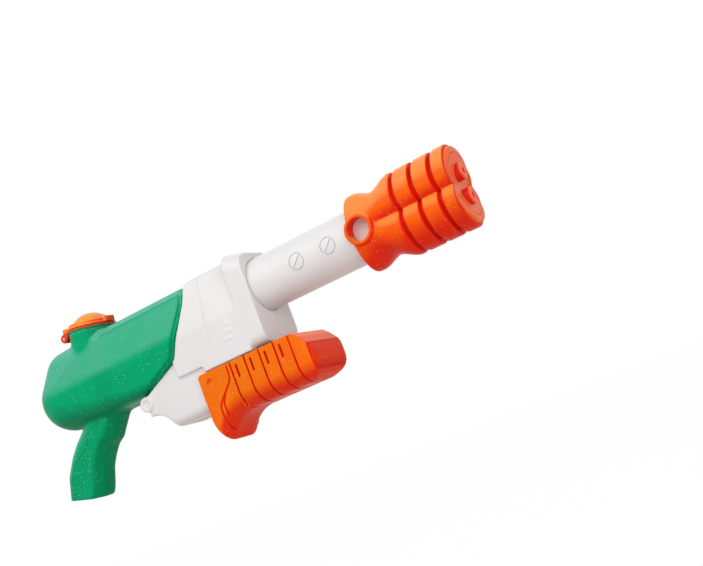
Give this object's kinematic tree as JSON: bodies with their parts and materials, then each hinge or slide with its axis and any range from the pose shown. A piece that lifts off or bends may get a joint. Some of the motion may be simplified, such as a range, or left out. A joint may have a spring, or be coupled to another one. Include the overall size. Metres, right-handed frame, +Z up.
{
  "type": "pump water squirter",
  "caption": "Large hand-pumped water squirter: green tank with pistol grip and flip cap, white housing and barrel, orange sliding pump and twin-lobed spinning head with jets",
  "frame": {"origin": "the middle of the hand grip, on the plane between the two halves", "axes": "X along the barrel towards the jets, Y across, Z up through the filler cap"},
  "size_m": [0.5595, 0.072, 0.1924],
  "materials": {
    "green": "moulded, slightly glossy",
    "white": "moulded, satin",
    "orange": "moulded, slightly glossy",
    "natural": "natural polypropylene",
    "rubber": "soft, matt",
    "steel": "plain"
  },
  "bodies": {
    "frame": {"tank_right": "green", "tank_left": "green", "fill_neck": "green", "cap_ring": "orange", "cap_hinge_pin": "steel", "housing_right": "white", "housing_left": "white", "housing_screws": "steel", "barrel_tube": "white", "nozzle_collar": "orange", "spindle": "natural", "spindle_seals": "rubber", "spindle_clip": "steel", "pump_cylinder": "natural", "cylinder_gland": "natural", "rod_seal": "rubber", "valve_block": "natural", "inlet_valve": "rubber", "outlet_valve": "rubber", "suction_tube": "natural", "suction_grommet": "rubber", "suction_strainer": "natural", "outlet_hose": "natural", "hose_clips": "steel"},
    "pump": {"pump_grip_right": "orange", "pump_grip_left": "orange", "pump_screws": "steel", "piston_rod": "natural", "piston_head": "natural", "piston_seal": "rubber"},
    "cap": {"fill_cap": "orange", "cap_seal": "rubber"},
    "head": {"head_shell": "orange", "head_face": "orange", "head_hub": "natural", "jet_tips": "orange"}
  },
  "joints": [
    {"name": "pump_slide", "type": "slide", "parent": "frame", "child": "pump", "axis": [1, 0, 0], "range_m": [-0.055, 0]},
    {"name": "cap_hinge", "type": "hinge", "parent": "frame", "child": "cap", "pos_m": [0.02876, 0, 0.14052], "axis": [0, -1, 0], "range_deg": [0, 110]},
    {"name": "head_spin", "type": "hinge", "parent": "frame", "child": "head", "pos_m": [0.49, 0, 0.098], "axis": [1, 0, 0], "continuous": true}
  ]
}
